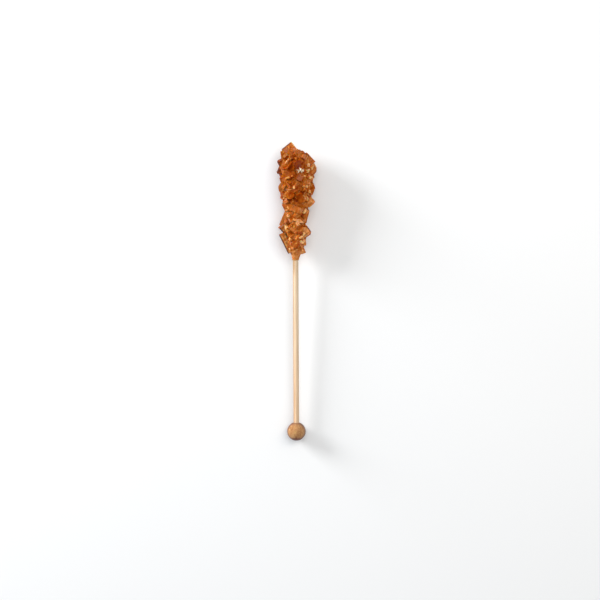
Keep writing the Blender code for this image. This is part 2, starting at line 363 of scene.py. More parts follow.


# ---------------------------------------------------------------------------------------------------
# The ball
# A 10 mm beech ball, turned and lacquered, drilled part way for the dowel, with a small lip round the
# hole. Its end grain has taken more of the stain, and painted shade adds to it, so it is darker and
# redder at the bottom. Its underside and a ring round the hole are painted darker as shade, and a pale
# spot on its top is a painted highlight.

BALL_HOLE_RADIUS = 1.58 * MM
BALL_LIP = 0.32 * MM  # how wide the hole's edge is eased
LIP_STEPS = 5
BALL_STEPS = 44  # from the hole's lip to the far end
BALL_TURNS = 72
TOOL_MARK = 0.006 * MM  # how deep the lathe's tool has cut its rings
SAME_POINT = 0.0001 * MM  # points nearer than this are one


def cut_away(bm, point, normal):
    """Slices off what lies beyond a plane, and closes the cut with a flat face."""
    geometry = bm.verts[:] + bm.edges[:] + bm.faces[:]
    bmesh.ops.bisect_plane(
        bm, geom=geometry, dist=SAME_POINT, plane_co=point, plane_no=normal, clear_outer=True
    )
    open_edges = [edge for edge in bm.edges if edge.is_boundary]
    if open_edges:
        bmesh.ops.edgeloop_fill(bm, edges=open_edges)


hole_floor = BALL_RADIUS - BALL_HOLE_DEPTH
lip_angle = math.asin((BALL_HOLE_RADIUS + BALL_LIP) / BALL_RADIUS)
lip_top = BALL_RADIUS * math.cos(lip_angle)
profile = [(0.0, hole_floor), (BALL_HOLE_RADIUS, hole_floor)]
for step in range(LIP_STEPS + 1):
    angle = math.radians(90) * step / LIP_STEPS
    across = BALL_HOLE_RADIUS + BALL_LIP * (1 - math.cos(angle))
    profile.append((across, lip_top - BALL_LIP * (1 - math.sin(angle))))
for step in range(1, BALL_STEPS):
    angle = lip_angle + (math.pi - lip_angle) * step / BALL_STEPS
    radius = BALL_RADIUS - TOOL_MARK * (step % 2)
    profile.append((radius * math.sin(angle), radius * math.cos(angle)))
profile.append((0.0, -BALL_RADIUS))
bm = bmesh.new()
points = [bm.verts.new((across, along, 0)) for across, along in profile]
edges = [bm.edges.new(pair) for pair in zip(points, points[1:])]
bmesh.ops.spin(
    bm, geom=points + edges, cent=(0, 0, 0), axis=(0, 1, 0), dvec=(0, 0, 0),
    angle=math.radians(360), steps=BALL_TURNS, use_merge=True, use_duplicate=False,
)
bmesh.ops.remove_doubles(bm, verts=bm.verts, dist=SAME_POINT)
cut_away(bm, TABLE_POINT, TABLE_DOWN)
bmesh.ops.recalc_face_normals(bm, faces=bm.faces)
for face in bm.faces:
    face.smooth = len(face.verts) <= 4
bmesh.ops.transform(bm, matrix=AS_IT_LIES, verts=bm.verts)

beech, wire, shader = new_material("beech_ball", Roughness=0.4, Specular_IOR_Level=0.3)
place = along_the_stick(wire)
rings = grain(place, 1.3, 6.0, 2.0)
fibres = grain(place, 0.16, 2.4, 3.0, 0.7)
mottle = grain(place, 0.8, 0.9, 2.0)
wood = (rings * 0.35 + fibres * 0.30 + mottle * 0.35).ramp(
    (0.38, (0.30, 0.122, 0.045)), (0.50, (0.44, 0.222, 0.09)), (0.60, (0.545, 0.318, 0.14))
)
rays = grain(place.vector("ADD", place, (3.0, 0.0, 5.0)), 0.16, 1.3, 1.0).between(0.62, 0.70, 0.0, 0.55)
flecked = wire.mix(rays, wood, (0.27, 0.115, 0.05, 1.0))
# Darker and redder at the far end: the end grain takes more stain, and painted shade adds to it.
end_grain_and_shade = place.part("Y").between(-2.4, -4.2, 0.0, 0.88)
reddened_and_shaded = wire.mix(end_grain_and_shade, flecked, (0.17, 0.035, 0.016, 1.0))
ray_line = wire.maths("ABSOLUTE", place.part("X") + 0.15).between(0.30, 0.05)
low_line = ray_line * place.part("Y").between(-1.2, -2.6, 0.0, 0.6)
reddened_and_shaded = wire.mix(low_line, reddened_and_shaded, (0.22, 0.05, 0.02, 1.0))
# Painted shade: a darker ring round the hole, where the dowel shades the ball.
shade_round_hole = place.part("Y").between(2.2, 4.5, 0.0, 0.55)
reddened_and_shaded = wire.mix(shade_round_hole, reddened_and_shaded, (0.27, 0.12, 0.055, 1.0))
# Painted shade: the ball is darker towards its underside, which rims it darkly seen from above.
shaded_underside = place.part("Z").between(3.3, 1.0, 0.0, 0.85)
reddened_and_shaded = wire.mix(shaded_underside, reddened_and_shaded, (0.13, 0.045, 0.028, 1.0))
# Painted highlight: a pale, streaky spot on the top of the ball, a little to the left.
highlight_spot = place.vector("DISTANCE", place, (-0.6, 0.1, 5.0), output="Value").between(1.2, 0.0, 0.0, 0.5)
highlighted = wire.mix(highlight_spot * fibres.between(0.35, 0.6), reddened_and_shaded, (0.60, 0.42, 0.13, 1.0))
join(highlighted, shader, "Base Color")
join(fibres.between(0.3, 0.7, 0.34, 0.52), shader, "Roughness")
raise_relief(wire, shader, fibres, strength=0.3, depth=0.05 * MM)
ball = new_piece("beech_ball", bm, beech)
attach(ball, "root")
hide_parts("ball")


# ---------------------------------------------------------------------------------------------------
# The sugar crystals
# A thread of syrup crystallised round the dowel: hundreds of clear amber blocks grown into each other,
# small ones between large ones. They grew as one body, so they are modelled as blocks and then united.

# How far the crystals reach from the dowel's axis, in millimetres, at places below the candy's tip.
Station = namedtuple("Station", "below left right up down")
REACH = [
    Station(0.0, 1.5, 0.5, 1.5, 1.5),
    Station(3.5, 4.6, 1.6, 4.2, 4.2),
    Station(7.5, 6.6, 6.0, 7.2, 7.0),
    Station(11.0, 8.2, 8.4, 8.8, 8.5),
    Station(16.0, 8.9, 10.4, 9.2, 8.8),
    Station(21.0, 8.5, 9.8, 9.0, 8.8),
    Station(27.0, 8.1, 9.4, 8.6, 8.4),
    Station(32.0, 7.3, 8.2, 8.0, 8.0),
    Station(36.0, 5.9, 7.0, 7.4, 7.4),
    Station(43.0, 7.2, 5.2, 7.0, 7.0),
    Station(48.2, 6.2, 7.4, 7.2, 7.0),
    Station(53.0, 5.6, 5.0, 6.2, 6.2),
    Station(58.0, 4.0, 4.6, 4.5, 4.4),
    Station(61.0, 2.3, 2.5, 2.5, 2.5),
    Station(63.2, 1.7, 1.7, 1.75, 1.75),
]
SQUARENESS = 2.3  # of the candy's cross section, where 2 is an oval


def reach_at(below, angle):
    """How far the crystals reach from the dowel's axis, at an angle that turns from right to up."""
    below = min(max(below / MM, REACH[0].below), REACH[-1].below)
    high = next(i for i in range(1, len(REACH)) if below <= REACH[i].below)
    a, b = REACH[high - 1], REACH[high]
    share = (below - a.below) / (b.below - a.below)
    left, right, up, down = (a[i] + (b[i] - a[i]) * share for i in range(1, 5))
    across = right if math.cos(angle) > 0 else left
    over = up if math.sin(angle) > 0 else down
    shares = (abs(math.cos(angle) / across), abs(math.sin(angle) / over))
    return MM / sum(share**SQUARENESS for share in shares) ** (1 / SQUARENESS)


CRYSTAL_TILT = math.radians(103) - math.pi / 2  # sugar crystals lean 13 degrees off square
BLUNTING = 0.2  # how deep a block's edges are cut, as a share of it, where blunt is 1
FACE_TONE = 0.08  # how far a face's tone strays from its crystal's
FACE_HUE = 0.3
EASED_TONES = (-0.14, -0.06, 0.02, 0.10)  # how an eased edge's tone differs from its crystal's: faint painted highlights and shade along the edges


def sugar_crystal(size, turn, blunt, draw, edge, tone, hue):
    """A leaning block, with facets along six of its edges, as sugar grows.

    Each face is marked with a tone, from 0 for the deepest brown to 1 for the palest, and with a hue,
    from -1 for honey to 1 for rose.
    """
    bm = bmesh.new()
    tones = bm.faces.layers.float.new("tone")
    hues = bm.faces.layers.float.new("hue")
    bmesh.ops.create_cube(bm, size=1.0)
    lean = Matrix.Identity(4)
    lean[0][2] = math.tan(CRYSTAL_TILT)
    bmesh.ops.transform(bm, matrix=lean, verts=bm.verts)
    just_touching = 0.5 + 0.25 * math.tan(CRYSTAL_TILT)
    for side in (-1, 1):
        for normal in (Vector((side, 0, side)), Vector((side, 1, 0)), Vector((side, -1, 0))):
            depth = just_touching - BLUNTING * blunt * draw.uniform(0.3, 1.4)
            if blunt:
                cut_away(bm, normal * depth, normal)
    bmesh.ops.scale(bm, vec=Vector(size), verts=bm.verts)
    for face in bm.faces:
        face[tones] = tone + draw.uniform(-FACE_TONE, FACE_TONE)
        face[hues] = hue + draw.uniform(-FACE_HUE, FACE_HUE)
    if edge:
        for face in ease(bm, bm.edges[:], edge):
            face[tones] = tone + draw.choice(EASED_TONES)
            face[hues] = hue
    bmesh.ops.rotate(bm, matrix=turn, verts=bm.verts)
    return bm


# The larger crystals that make the outline: where each lies below the tip and from the dowel's axis, its
# size, in millimetres, and its turn, in degrees. Their pale tones, as on olive_cream, are painted
# highlights.
Crystal = namedtuple("Crystal", "below right up size turn blunt tone hue")
NAMED_CRYSTALS = {
    "tip": Crystal(4.3, -2.8, 0.8, (6.9, 5.8, 5.6), (-4, -16, 38), 0.0, 0.50, 0.3),
    "tip_rose_left": Crystal(4.4, -4.7, 2.6, (2.6, 2.2, 2.0), (8, -18, 40), 0.4, 0.52, 1.4),
    "tip_rose_right": Crystal(4.4, -0.9, 3.5, (2.8, 2.4, 2.0), (4, -10, 14), 0.4, 0.66, 1.5),
    "tip_ridge": Crystal(4.6, -2.9, 3.0, (0.7, 4.6, 1.9), (6, -16, 6), 0.0, 0.72, -0.2),
    "olive_cream": Crystal(7.5, -5.2, 4.3, (2.4, 1.4, 1.8), (6, -14, 40), 0.4, 0.80, -0.6),
    "olive_window": Crystal(8.5, -4.5, 4.6, (2.2, 1.5, 1.8), (6, -14, 40), 0.2, 0.14, -1.3),
    "left_temple": Crystal(7.0, -5.4, 0.2, (4.6, 5.0, 5.0), (8, -12, 6), 0.3, 0.60, -0.7),
    "right_shoulder": Crystal(8.3, 3.1, 0.6, (5.8, 5.6, 6.0), (-8, -10, -33), 0.1, 0.42, 0.1),
    "right_corner": Crystal(10.0, 6.6, 0.8, (6.4, 4.9, 5.6), (-5, -14, -48), 0.1, 0.38, 0.6),
    "right_bulge": Crystal(15.5, 8.8, 0.2, (5.2, 8.2, 5.4), (8, -10, -8), 1.3, 0.66, 0.1),
    "left_shoulder": Crystal(11.4, -6.8, 1.2, (4.4, 4.6, 5.0), (12, -10, 24), 0.6, 0.40, 0.0),
    "left_cheek": Crystal(15.0, -7.0, -0.2, (4.8, 4.4, 4.6), (-8, -10, -20), 0.8, 0.32, 0.2),
    "left_rib": Crystal(20.2, -5.9, 0.4, (4.4, 4.4, 4.6), (8, -14, 18), 0.8, 0.40, 0.0),
    "left_belly": Crystal(24.0, -6.6, 0.6, (5.0, 6.0, 5.0), (8, -10, 4), 1.1, 0.55, -0.1),
    "right_belly": Crystal(25.0, 8.4, -0.4, (4.6, 6.4, 5.0), (8, -10, 14), 1.2, 0.42, 0.5),
    "right_knob": Crystal(31.7, 7.5, 1.2, (4.6, 4.6, 4.6), (6, -12, 42), 0.9, 0.60, -0.1),
    "right_spur": Crystal(39.2, 4.4, 1.4, (4.6, 7.0, 4.6), (10, -8, -16), 0.5, 0.45, -0.2),
    "left_notch": Crystal(34.8, -4.5, 0.8, (3.8, 4.2, 4.4), (-14, -10, 30), 0.6, 0.38, 0.2),
    "left_flank": Crystal(41.0, -5.4, 1.0, (3.6, 7.6, 4.8), (10, -12, -25), 0.1, 0.48, 0.5),
    "left_elbow": Crystal(45.8, -6.0, 1.8, (4.5, 4.4, 4.6), (8, -12, 43), 0.1, 0.45, 0.4),
    "right_block": Crystal(47.8, 4.8, 2.2, (5.8, 5.8, 5.4), (8, -12, 34), 0.5, 0.45, 0.2),
    "right_step": Crystal(52.6, 3.7, 0.4, (3.6, 5.0, 4.2), (10, -10, 4), 0.4, 0.55, -0.3),
    "left_plate": Crystal(53.8, -5.0, 0.8, (3.2, 11.2, 4.0), (4, -12, 25), 0.0, 0.48, 0.4),
    "plate_ridge": Crystal(52.8, -5.8, 2.2, (0.9, 6.0, 1.6), (4, -12, 24), 0.5, 0.64, 0.6),
    "right_chip": Crystal(57.9, 3.7, 0.8, (2.6, 2.9, 3.0), (14, -10, 20), 0.4, 0.50, 0.1),
    "top_block": Crystal(14.0, -2.4, 6.4, (5.2, 5.0, 5.0), (24, 8, 52), 0.4, 0.25, 0.1),
    "middle_block": Crystal(30.0, 2.0, 5.4, (5.4, 5.2, 5.0), (10, -18, 20), 0.4, 0.20, 0.1),
    "left_foot": Crystal(13.0, -4.2, -6.2, (5.2, 5.6, 5.4), (14, 8, 20), 0.5, 0.40, 0.0),
    "right_foot": Crystal(20.0, 4.6, -6.2, (5.6, 5.2, 5.2), (-12, 10, -28), 0.5, 0.40, 0.0),
}

# The upper edges of these crystals are eased, each with its own tone, on the sides that face the ways
# given: to the right and to the tip. The dark tones are painted shade along the outline, and the pale
# ones painted highlights.
EDGE_TONES = {
    "tip": {(-1, 1): -0.45, (1, 1): 0.92},
    "right_shoulder": {(1, 1): -0.45},
    "right_corner": {(1, 1): -0.40},
    "right_bulge": {(1, 0): 0.35},
    "left_shoulder": {(-1, 0): -0.25},
    "left_cheek": {(-1, 0): -0.25},
    "left_elbow": {(-1, -1): -0.30, (-1, 1): 0.05},
    "left_plate": {(-1, -0.4): -0.20},
    "right_block": {(1, 1): -0.10, (1, -1): 0.05},
    "right_chip": {(1, 0): -0.05},
}
EDGE_WIDTH = 0.6 * MM
FACING = 0.6  # a face looks a way where its normal has this share of it

# Crystals that stand a little proud of the side that shows: where, how long and wide, in millimetres,
# and how turned, in degrees from across the stick. Their tones paint light and shade: the pale ones are
# painted highlights, glow and light seen through thin crystal, and those at 0 and below painted shade in
# pits and hollows.
Facet = namedtuple("Facet", "below right long wide turn tone hue")
SHOWING_FACETS = {
    "upper_bar": Facet(10.5, -4.1, 4.0, 0.9, -42, 0.76, 0.4),
    "lower_bar": Facet(19.0, -3.2, 5.2, 0.9, -20, 0.78, 0.5),
    "broad_face": Facet(12.8, 2.0, 6.6, 5.2, 12, 0.19, -0.1),
    "deep_left": Facet(14.2, -2.0, 4.2, 3.4, -40, 0.24, 0.1),
    "deep_face": Facet(17.6, -2.0, 4.6, 3.6, -25, 0.20, 0.1),
    "deep_middle": Facet(19.6, 2.4, 4.0, 3.0, 30, 0.20, 0.1),
    "pit_high": Facet(7.9, 0.0, 0.9, 0.7, 20, 0.0, 0.0),
    "pit_right": Facet(9.1, 3.2, 0.8, 0.6, -30, 0.0, 0.0),
    "pit_middle": Facet(12.0, 0.2, 0.8, 0.6, 50, 0.0, 0.0),
    "pit_left": Facet(11.3, -2.1, 0.8, 0.6, 10, 0.0, 0.0),
    "rose_face": Facet(8.6, 5.2, 3.4, 2.0, 35, 0.46, 0.8),
    "cream_tooth": Facet(12.5, 7.5, 2.0, 0.9, 84, 1.0, -0.2),
    "cream_bar": Facet(15.6, 7.3, 2.3, 0.6, -62, 0.95, -0.1),
    "cream_spot": Facet(18.4, 5.5, 0.8, 0.7, 20, 0.82, 0.0),
    "peach_spot": Facet(18.9, 8.6, 1.7, 1.1, -60, 1.0, 0.1),
    "right_glow": Facet(13.0, 9.6, 3.0, 2.0, -50, 0.82, 0.1),
    "small_spot": Facet(22.3, 7.4, 1.0, 0.7, 10, 0.70, 0.2),
    "rose_spot": Facet(24.0, 6.2, 1.2, 0.9, 40, 0.75, 0.9),
    "middle_spot": Facet(23.8, 5.0, 1.1, 0.8, -30, 0.82, 0.4),
    "tall_spot": Facet(26.6, 8.0, 1.5, 0.8, 80, 0.88, 0.1),
    "belly_spot": Facet(24.4, -0.8, 2.0, 1.2, -60, 0.92, 0.4),
    "belly_tail": Facet(22.8, 0.2, 2.0, 0.7, -60, 0.72, -0.2),
    "belly_sheen": Facet(24.0, -6.2, 3.2, 1.4, -50, 0.52, 0.1),
    "dark_pit": Facet(27.6, 3.6, 2.4, 2.0, 10, -0.15, 0.3),
    "dark_dot": Facet(31.0, 0.0, 1.6, 1.3, 40, -0.1, 0.2),
    "rose_streak": Facet(30.0, 5.2, 2.4, 0.9, 80, 0.78, 0.6),
    "honey_streak": Facet(30.2, 6.6, 2.8, 0.8, 84, 0.62, -0.4),
    "flank_face": Facet(28.8, -2.6, 5.0, 3.6, -15, 0.22, 0.4),
    "flank_rose": Facet(31.5, -5.2, 3.4, 2.4, 60, 0.40, 0.6),
    "notch_light": Facet(34.8, -3.9, 1.8, 0.8, 72, 0.78, 0.2),
    "waist_face": Facet(36.0, 0.4, 5.0, 3.2, 20, 0.46, 0.1),
    "spur_bar": Facet(36.9, 5.4, 3.4, 1.1, -45, 0.78, -0.2),
    "spur_dark": Facet(39.2, 4.0, 1.6, 1.4, 0, -0.1, 0.2),
    "flank_spot": Facet(39.6, -4.1, 1.7, 1.0, 75, 0.82, 0.2),
    "flank_rose_low": Facet(42.4, -5.3, 2.4, 2.0, 50, 0.26, 0.9),
    "peach_patch": Facet(42.3, 2.0, 6.2, 2.0, 24, 0.64, 0.1),
    "peach_patch_low": Facet(43.8, 1.5, 2.4, 1.8, 60, 0.66, 0.1),
    "elbow_window": Facet(45.4, -5.5, 2.6, 1.8, 45, 1.0, -0.6),
    "elbow_honey": Facet(47.0, -4.6, 2.2, 1.5, 50, 0.50, -1.0),
    "block_hollow": Facet(48.6, 2.8, 1.8, 1.5, 0, 0.0, 0.1),
    "block_light": Facet(49.0, 4.9, 2.2, 1.2, -50, 0.76, 0.2),
    "block_cream": Facet(50.7, 3.3, 2.6, 0.9, -30, 0.78, 0.3),
    "step_window": Facet(53.0, 4.0, 3.0, 2.2, -40, 1.1, 0.0),
    "plate_stripe": Facet(51.6, -6.2, 4.4, 0.9, 62, 0.88, 0.4),
    "plate_light": Facet(51.8, -3.2, 2.6, 1.2, 80, 0.50, 0.4),
    "low_face": Facet(54.4, 0.0, 4.8, 4.0, 30, 0.22, 0.4),
    "chip_light": Facet(58.0, 4.2, 1.3, 1.0, 70, 0.95, 0.4),
    "drip_light": Facet(57.6, 1.2, 1.6, 0.7, -10, 0.44, 0.1),
    "low_spot": Facet(57.0, -3.4, 0.9, 0.7, 60, 0.85, 0.1),
}
FACET_DEPTH = 2.4 * MM
FACET_PROUD = 0.2 * MM  # how far the highest corner stands out of the reach
FACET_EDGE = 0.10 * MM
FACET_BLUNT = (0.3, 1.5)
FACET_ROLL = 0.2  # in radians
FACET_DIP = 0.35
FACET_RISE = 0.3  # in millimetres: how far a wide one's edges may rise and sink
FACET_RISE_ALONG = 0.7  # and a long one's ends
CRYSTAL_EDGE = 0.22 * MM


def upright(turn):
    """A crystal's turn about the three axes, given in degrees."""
    return Euler([math.radians(angle) for angle in turn]).to_matrix()


def shade_edges(bm, way, tone):
    """Eases the upper edges on the side that faces one way, and marks them with painted shade or highlight.
    """
    tones = bm.faces.layers.float["tone"]
    bm.normal_update()
    side = {face for face in bm.faces if face.normal.dot(way) > FACING}
    upper = {face for face in bm.faces if face.normal.z > FACING}
    edges = [edge for edge in bm.edges if side & set(edge.link_faces) and upper & set(edge.link_faces)]
    for face in ease(bm, edges, EDGE_WIDTH):
        face[tones] = tone


def top_of(below, right):
    """The direction outward, and the distance, from the axis to the candy's upper surface at a place."""
    side = reach_at(below, 0.0 if right > 0 else math.pi)
    over = reach_at(below, math.pi / 2)
    share = min(abs(right) / side, 0.97)
    up = over * (1 - share**SQUARENESS) ** (1 / SQUARENESS)
    return Vector((right, 0, up)).normalized(), math.hypot(right, up)


def lie_outward(outward, lie, roll, dip):
    """Turns a block's +Z outward, with its length at a lie in degrees from across the stick.

    Roll turns it about its length, and dip about its width, in radians.
    """
    across = Vector((0, 1, 0)).cross(outward)
    basis = Matrix((Vector((0, 1, 0)), -across, outward)).transposed()
    spun = basis @ Matrix.Rotation(math.radians(90 - lie), 3, "Z")
    return spun @ Euler([roll, dip, 0]).to_matrix()


def push_out(bm, outward, reach, below):
    """Moves a block to its place below the tip, and out until its highest corner is at the reach."""
    corner = max(vertex.co.dot(outward) for vertex in bm.verts)
    place = outward * (reach - corner) + Vector((0, TIP - below, 0))
    bmesh.ops.translate(bm, vec=place, verts=bm.verts)


# The two ways that most of the crystals lie, in degrees from across the stick, and how far they stray.
RISING = (38, 14)
FALLING = (-42, 14)

# The blocks that fill the candy, in two layers of rings, in millimetres: how far apart the rings are, how
# long the blocks, their width as a share of that, how far out they stand as a share of the reach, how wide
# their eased edges, and where the rings start and end below the tip.
Growth = namedtuple("Growth", "spacing long share_wide share_out edge start end")
GROWTHS = [
    Growth(3.6, (5.0, 8.0), (0.40, 0.60), (0.90, 0.98), 0.20, 8.6, 58.7),
    Growth(3.2, (2.6, 4.8), (0.32, 0.55), (0.85, 0.95), 0.12, 7.2, 46.0),
]
SHARE_HIGH = (0.45, 0.7)  # of a block's length
LONGEST = 0.8  # as a share of the reach there
LEAST_ROUND = 6  # blocks in a ring
STRAY_ROUND = 0.35  # as a share of the room that each block has in its ring
STRAY_ALONG = 0.5  # as a share of the spacing
ROCKS = (0.5, 0.28)  # the spread of the roll and of the dip
BLOCK_BLUNT = (0.1, 1.1)
BLOCK_TONE = (0.42, 0.045)  # the middle one, and the spread
BLOCK_HUE = (0, 0.18)


def grow(growth, draw):
    """Rings of crystals down the candy, each pushed out until its face or corner meets the reach."""
    spacing = growth.spacing * MM
    longs = [side * MM for side in growth.long]
    below = growth.start * MM
    while below < growth.end * MM:
        around = 2 * math.pi * reach_at(below, math.radians(45))
        count = max(LEAST_ROUND, round(around / spacing))
        first = draw.uniform(0, 2 * math.pi)
        for step in range(count):
            stray = draw.uniform(-STRAY_ROUND, STRAY_ROUND)
            angle = first + 2 * math.pi * (step + stray) / count
            along = below + draw.uniform(-STRAY_ALONG, STRAY_ALONG) * spacing
            reach = reach_at(along, angle) * draw.uniform(*growth.share_out)
            long = min(draw.uniform(*longs), LONGEST * reach)
            wide = long * draw.uniform(*growth.share_wide)
            size = (long, wide, long * draw.uniform(*SHARE_HIGH))
            outward = Vector((math.cos(angle), 0, math.sin(angle)))
            lie = draw.gauss(*draw.choice((RISING, RISING, FALLING)))
            turn = lie_outward(outward, lie, *(draw.gauss(0, rock) for rock in ROCKS))
            blunt = draw.uniform(*BLOCK_BLUNT)
            tone = draw.gauss(*BLOCK_TONE)
            hue = draw.gauss(*BLOCK_HUE)
            bm = sugar_crystal(size, turn, blunt, draw, growth.edge * MM, tone, hue)
            push_out(bm, outward, reach, along)
            yield bm
        below += spacing


CORE_SIDES = 40
CORE_RINGS = 48
CORE_START = 3 * MM
CORE_DEPTH = 2 * MM  # the grown-together middle stays this far inside the reach
CORE_DRIP = 15 * MM  # and comes out to it over this last stretch, where sugar ran down the dowel
CORE_LEAST = 0.3 * MM  # its least radius
CORE_LUMPS = 1.6  # how closely they stand
LUMP_STRETCH = 0.35  # and how much closer they stand round the stick than along it
LUMP_HEIGHT = 0.08  # as a share of the radius
CORE_TONE = 0.35
RAGS = 2.3  # how closely they stand at the lower end
RAG_LENGTH = 0.5 * MM
END_RAISED = 0.2 * MM  # so that no rag is below the candy's length
DRIP_TONE = 0.50
DRIP_TONE_FROM = 5 * MM  # above the ragged end


def candy_core():
    """The middle of the candy, and the sugar that ran down the dowel below it, with a ragged end."""
    bm = bmesh.new()
    tones = bm.faces.layers.float.new("tone")
    bm.faces.layers.float.new("hue")
    loops = []
    for ring in range(CORE_RINGS):
        below = CORE_START + (CANDY_LENGTH - CORE_START) * ring / (CORE_RINGS - 1)
        loop = []
        for side in range(CORE_SIDES):
            angle = 2 * math.pi * side / CORE_SIDES
            depth = CORE_DEPTH * min(1.0, (CANDY_LENGTH - below) / CORE_DRIP)
            radius = max(reach_at(below, angle) - depth, CORE_LEAST)
            around = Vector((math.cos(angle), below / MM * LUMP_STRETCH, math.sin(angle)))
            radius *= 1 + LUMP_HEIGHT * noise.noise(around * CORE_LUMPS)
            along = TIP - below
            if ring == CORE_RINGS - 1:
                along += RAG_LENGTH * noise.noise(around * RAGS) + END_RAISED
            place = Vector((radius * math.cos(angle), along, radius * math.sin(angle)))
            loop.append(bm.verts.new(place))
        loops.append([bm.edges.new((loop[i - 1], loop[i])) for i in range(CORE_SIDES)])
    for a, b in zip(loops, loops[1:]):
        bmesh.ops.bridge_loops(bm, edges=a + b)
    for end in (loops[0], loops[-1]):
        bmesh.ops.edgeloop_fill(bm, edges=end)
    bmesh.ops.recalc_face_normals(bm, faces=bm.faces)
    for face in bm.faces:
        above_drip = TIP - face.calc_center_median().y < CANDY_LENGTH - DRIP_TONE_FROM
        face[tones] = CORE_TONE if above_drip else DRIP_TONE
    return bm


def helper_object(bm, name, collection):
    """A block to unite or cut with, which is removed when that is done."""
    bmesh.ops.recalc_face_normals(bm, faces=bm.faces)
    mesh = bpy.data.meshes.new(name)
    bm.to_mesh(mesh)
    bm.free()
    made = bpy.data.objects.new(name, mesh)
    collection.objects.link(made)
    return made


SIDE_FROM = 0.25  # faces that turn from outward by more than this are painted darker, as shade
SIDE_DARKER = 0.08  # by up to this tone
RIM_FROM = 0.84  # of the reach to the left or right, past which steep faces are painted darker, as shade on the rims
RIM_LEAN = 0.35
RIM_DARKER = 0.30  # by this tone on the left, and half of it on the right: painted shade
HOLE_TIGHTER = 0.06 * MM  # than the dowel, which the sugar grips
HOLE_SHORTER = 0.2 * MM
HOLE_SIDES = 48
CUTTER_DEPTH = 8 * MM

cluster = bpy.data.collections.new("cluster")
bpy.context.scene.collection.children.link(cluster)
for name, crystal in NAMED_CRYSTALS.items():
    draw = random.Random(name)
    size = [side * MM for side in crystal.size]
    edge = 0 if name in EDGE_TONES else CRYSTAL_EDGE
    bm = sugar_crystal(size, upright(crystal.turn), crystal.blunt, draw, edge, crystal.tone, crystal.hue)
    for way, tone in EDGE_TONES.get(name, {}).items():
        shade_edges(bm, Vector((*way, 0)).normalized(), tone)
    place = Vector((crystal.right, TIP / MM - crystal.below, crystal.up)) * MM
    bmesh.ops.translate(bm, vec=place, verts=bm.verts)
    helper_object(bm, name, cluster)
for name, facet in SHOWING_FACETS.items():
    draw = random.Random(name)
    outward, distance = top_of(facet.below * MM, facet.right * MM)
    roll = draw.uniform(-1, 1) * min(FACET_ROLL, FACET_RISE / facet.wide)
    dip = draw.uniform(-1, 1) * min(FACET_DIP, FACET_RISE_ALONG / facet.long)
    turn = lie_outward(outward, facet.turn, roll, dip)
    size = (facet.long * MM, facet.wide * MM, FACET_DEPTH)
    blunt = draw.uniform(*FACET_BLUNT)
    bm = sugar_crystal(size, turn, blunt, draw, FACET_EDGE, facet.tone, facet.hue)
    push_out(bm, outward, distance + FACET_PROUD, facet.below * MM)
    helper_object(bm, name, cluster)
draw = random.Random(4)
for growth in GROWTHS:
    for bm in grow(growth, draw):
        helper_object(bm, "block", cluster)
cutters = bpy.data.collections.new("cutters")
bpy.context.scene.collection.children.link(cutters)
bm = bmesh.new()
hole_end = DOWEL_END - HOLE_SHORTER
hole_radius = DOWEL_RADIUS - HOLE_TIGHTER
bmesh.ops.create_cone(
    bm, cap_ends=True, segments=HOLE_SIDES, radius1=hole_radius, radius2=hole_radius, depth=hole_end
)
bmesh.ops.rotate(bm, matrix=Matrix.Rotation(math.radians(90), 3, "X"), verts=bm.verts)
bmesh.ops.translate(bm, vec=Vector((0, hole_end / 2, 0)), verts=bm.verts)
helper_object(bm, "hole", cutters)
bm = bmesh.new()
bmesh.ops.create_cube(bm, size=1.0)
bmesh.ops.scale(bm, vec=Vector((60 * MM, 320 * MM, CUTTER_DEPTH)), verts=bm.verts)
bmesh.ops.rotate(bm, matrix=Matrix.Rotation(-SLOPE, 3, "X"), verts=bm.verts)
bmesh.ops.translate(bm, vec=TABLE_POINT + TABLE_DOWN * CUTTER_DEPTH / 2, verts=bm.verts)
helper_object(bm, "below_table", cutters)

core = helper_object(candy_core(), "core", bpy.context.scene.collection)
for operation, collection in (("UNION", cluster), ("DIFFERENCE", cutters)):
    modifier = core.modifiers.new(operation, "BOOLEAN")
    modifier.operation = operation
    modifier.solver = "MANIFOLD"
    modifier.operand_type = "COLLECTION"
    modifier.collection = collection
bpy.context.view_layer.update()
grown = core.evaluated_get(bpy.context.evaluated_depsgraph_get())
bm = bmesh.new()
bm.from_mesh(grown.data)
depths = bm.verts.layers.float.new("depth")
for vertex in bm.verts:
    across, along, over = vertex.co
    angle = math.atan2(over, across)
    vertex[depths] = (reach_at(TIP - along, angle) - math.hypot(across, over)) / MM
tones = bm.faces.layers.float["tone"]
for face in bm.faces:
    middle = face.calc_center_median()
    outward = Vector((middle.x, 0, middle.z)).normalized()
    away = 1 - max(face.normal.dot(outward), 0)
    # Painted shade: faces that turn away from outward are marked darker.
    face[tones] -= SIDE_DARKER * max(0, away - SIDE_FROM)
    # Painted shade: steep faces at the left and right rims are marked darker.
    rim = RIM_FROM * reach_at(TIP - middle.y, 0 if middle.x > 0 else math.pi)
    if abs(face.normal.x) > RIM_LEAN and abs(middle.x) > rim:
        face[tones] -= RIM_DARKER if middle.x < 0 else RIM_DARKER / 2
bmesh.ops.transform(bm, matrix=AS_IT_LIES, verts=bm.verts)
for collection in (cluster, cutters):
    for helper in list(collection.objects):
        bpy.data.objects.remove(helper)
    bpy.data.collections.remove(collection)
bpy.data.objects.remove(core)

amber, wire, shader = new_material(
    "amber_sugar", IOR=1.54, Transmission_Weight=0.15, Specular_IOR_Level=0.0,
    Coat_Roughness=0.06, Subsurface_Weight=0.6, Subsurface_Radius=(1.0, 0.35, 0.1),
    Subsurface_Scale=1.2 * MM,
)
place = wire.node("TexCoord", {}, {}, "Object")


def marked(wire, name):
    """What the crystals' faces or corners were marked with."""
    return wire.node("Attribute", {"attribute_name": name}, {}, "Fac")


